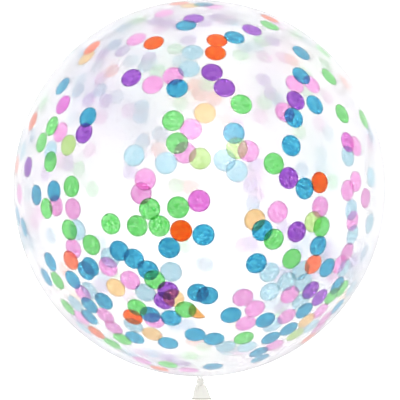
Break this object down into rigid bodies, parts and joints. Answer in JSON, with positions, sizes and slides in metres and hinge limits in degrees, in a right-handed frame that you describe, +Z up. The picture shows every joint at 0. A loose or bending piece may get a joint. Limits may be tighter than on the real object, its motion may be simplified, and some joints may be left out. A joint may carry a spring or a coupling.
{
  "type": "giant confetti balloon",
  "caption": "A giant round balloon of clear latex, blown up and knotted, lying on its side, with loose round confetti inside and a rolled tail rim.",
  "frame": {"origin": "middle of the small flat patch where the balloon rests on the floor, straight below the middle of the ball", "axes": "+Y along the balloon's axis, towards the crown and away from the knot; +Z up, square to the floor"},
  "size_m": [0.9, 0.973, 0.896],
  "materials": {
    "latex": "thin clear latex, satin gloss, milky at the knot and tail"
  },
  "bodies": {
    "root": {"balloon": "latex"}
  },
  "joints": []
}
